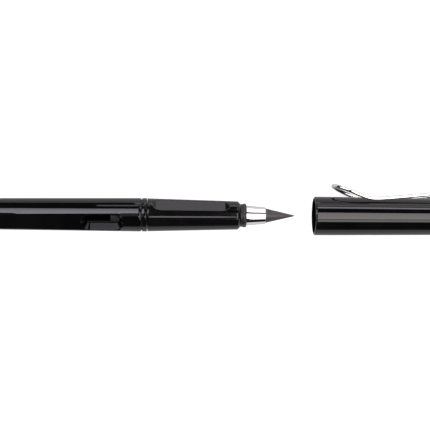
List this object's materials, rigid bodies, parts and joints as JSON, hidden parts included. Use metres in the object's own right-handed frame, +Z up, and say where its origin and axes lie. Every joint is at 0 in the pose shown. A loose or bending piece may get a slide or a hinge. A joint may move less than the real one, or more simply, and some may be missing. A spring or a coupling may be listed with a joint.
{
  "type": "capped everlasting pencil",
  "caption": "Slim black writing stick with a graphite cone point, facetted grip, windowed barrel and a pull-off cap with a wire loop clip.",
  "frame": {"origin": "centre of the barrel's flat rear end face, on the pen's axis", "axes": "+X along the pen's axis from the rear end to the point and on to the cap, +Z up from the table that the pen lies on, +Y to the side that the cap's clip lies on"},
  "size_m": [0.2117, 0.0197, 0.0148],
  "materials": {
    "black_lacquer": "glossy black lacquer over aluminium",
    "black_grip": "glossy moulded black plastic",
    "black_carrier": "satin moulded black plastic",
    "grey_nipple": "dark grey moulded plastic",
    "liner_plastic": "dull dark plastic",
    "seal_rubber": "smooth black rubber",
    "chrome": "polished",
    "thread_brass": "turned",
    "graphite": "satin graphite composite with fine lengthwise streaks"
  },
  "bodies": {
    "barrel": {"barrel": "black_lacquer", "barrel_end_plug": "black_grip", "barrel_thread_bush": "thread_brass"},
    "trim_ring": {"section_ring": "black_grip", "thread_o_ring": "seal_rubber"},
    "section": {"section_core": "black_carrier", "section_nipple": "grey_nipple", "grip_section": "black_grip", "tip_socket": "thread_brass"},
    "seal": {"seal_ring": "seal_rubber"},
    "point": {"tip_holder": "black_carrier", "tip_ferrule": "chrome", "graphite_cone": "graphite", "cone_core": "chrome"},
    "inner_cap": {"cap_liner": "liner_plastic"},
    "cap": {"cap_shell": "black_lacquer", "clip_retainer": "thread_brass", "finial_washer": "chrome", "cap_finial": "black_grip"},
    "clip": {"clip_wire": "chrome"}
  },
  "joints": [
    {"name": "section_travel", "type": "slide", "parent": "barrel", "child": "trim_ring", "axis": [1, 0, 0], "range_m": [0, 0.005]},
    {"name": "section_turn", "type": "hinge", "parent": "trim_ring", "child": "section", "pos_m": [0.0788, 0, 0], "axis": [1, 0, 0], "range_deg": [0, 1800]},
    {"name": "point_travel", "type": "slide", "parent": "section", "child": "seal", "axis": [1, 0, 0], "range_m": [0, 0.0035]},
    {"name": "point_turn", "type": "hinge", "parent": "seal", "child": "point", "pos_m": [0.11732, 0, 0], "axis": [1, 0, 0], "range_deg": [0, 1800]},
    {"name": "cap_slide", "type": "slide", "parent": "section", "child": "inner_cap", "axis": [1, 0, 0], "range_m": [-0.06662, 0]},
    {"name": "cap_turn", "type": "hinge", "parent": "inner_cap", "child": "cap", "pos_m": [0.14462, 0, 0], "axis": [1, 0, 0], "continuous": true},
    {"name": "clip_flex", "type": "hinge", "parent": "cap", "child": "clip", "pos_m": [0.20762, 0.00498, -0.00039], "axis": [0, -0.0785, -0.9969], "range_deg": [0, 8], "stiffness_Nm_per_rad": 0.5}
  ],
  "couplings": [
    {"joint": "section_turn", "follows": "section_travel", "rad_per_m": 6283.2},
    {"joint": "point_turn", "follows": "point_travel", "rad_per_m": 8976}
  ]
}
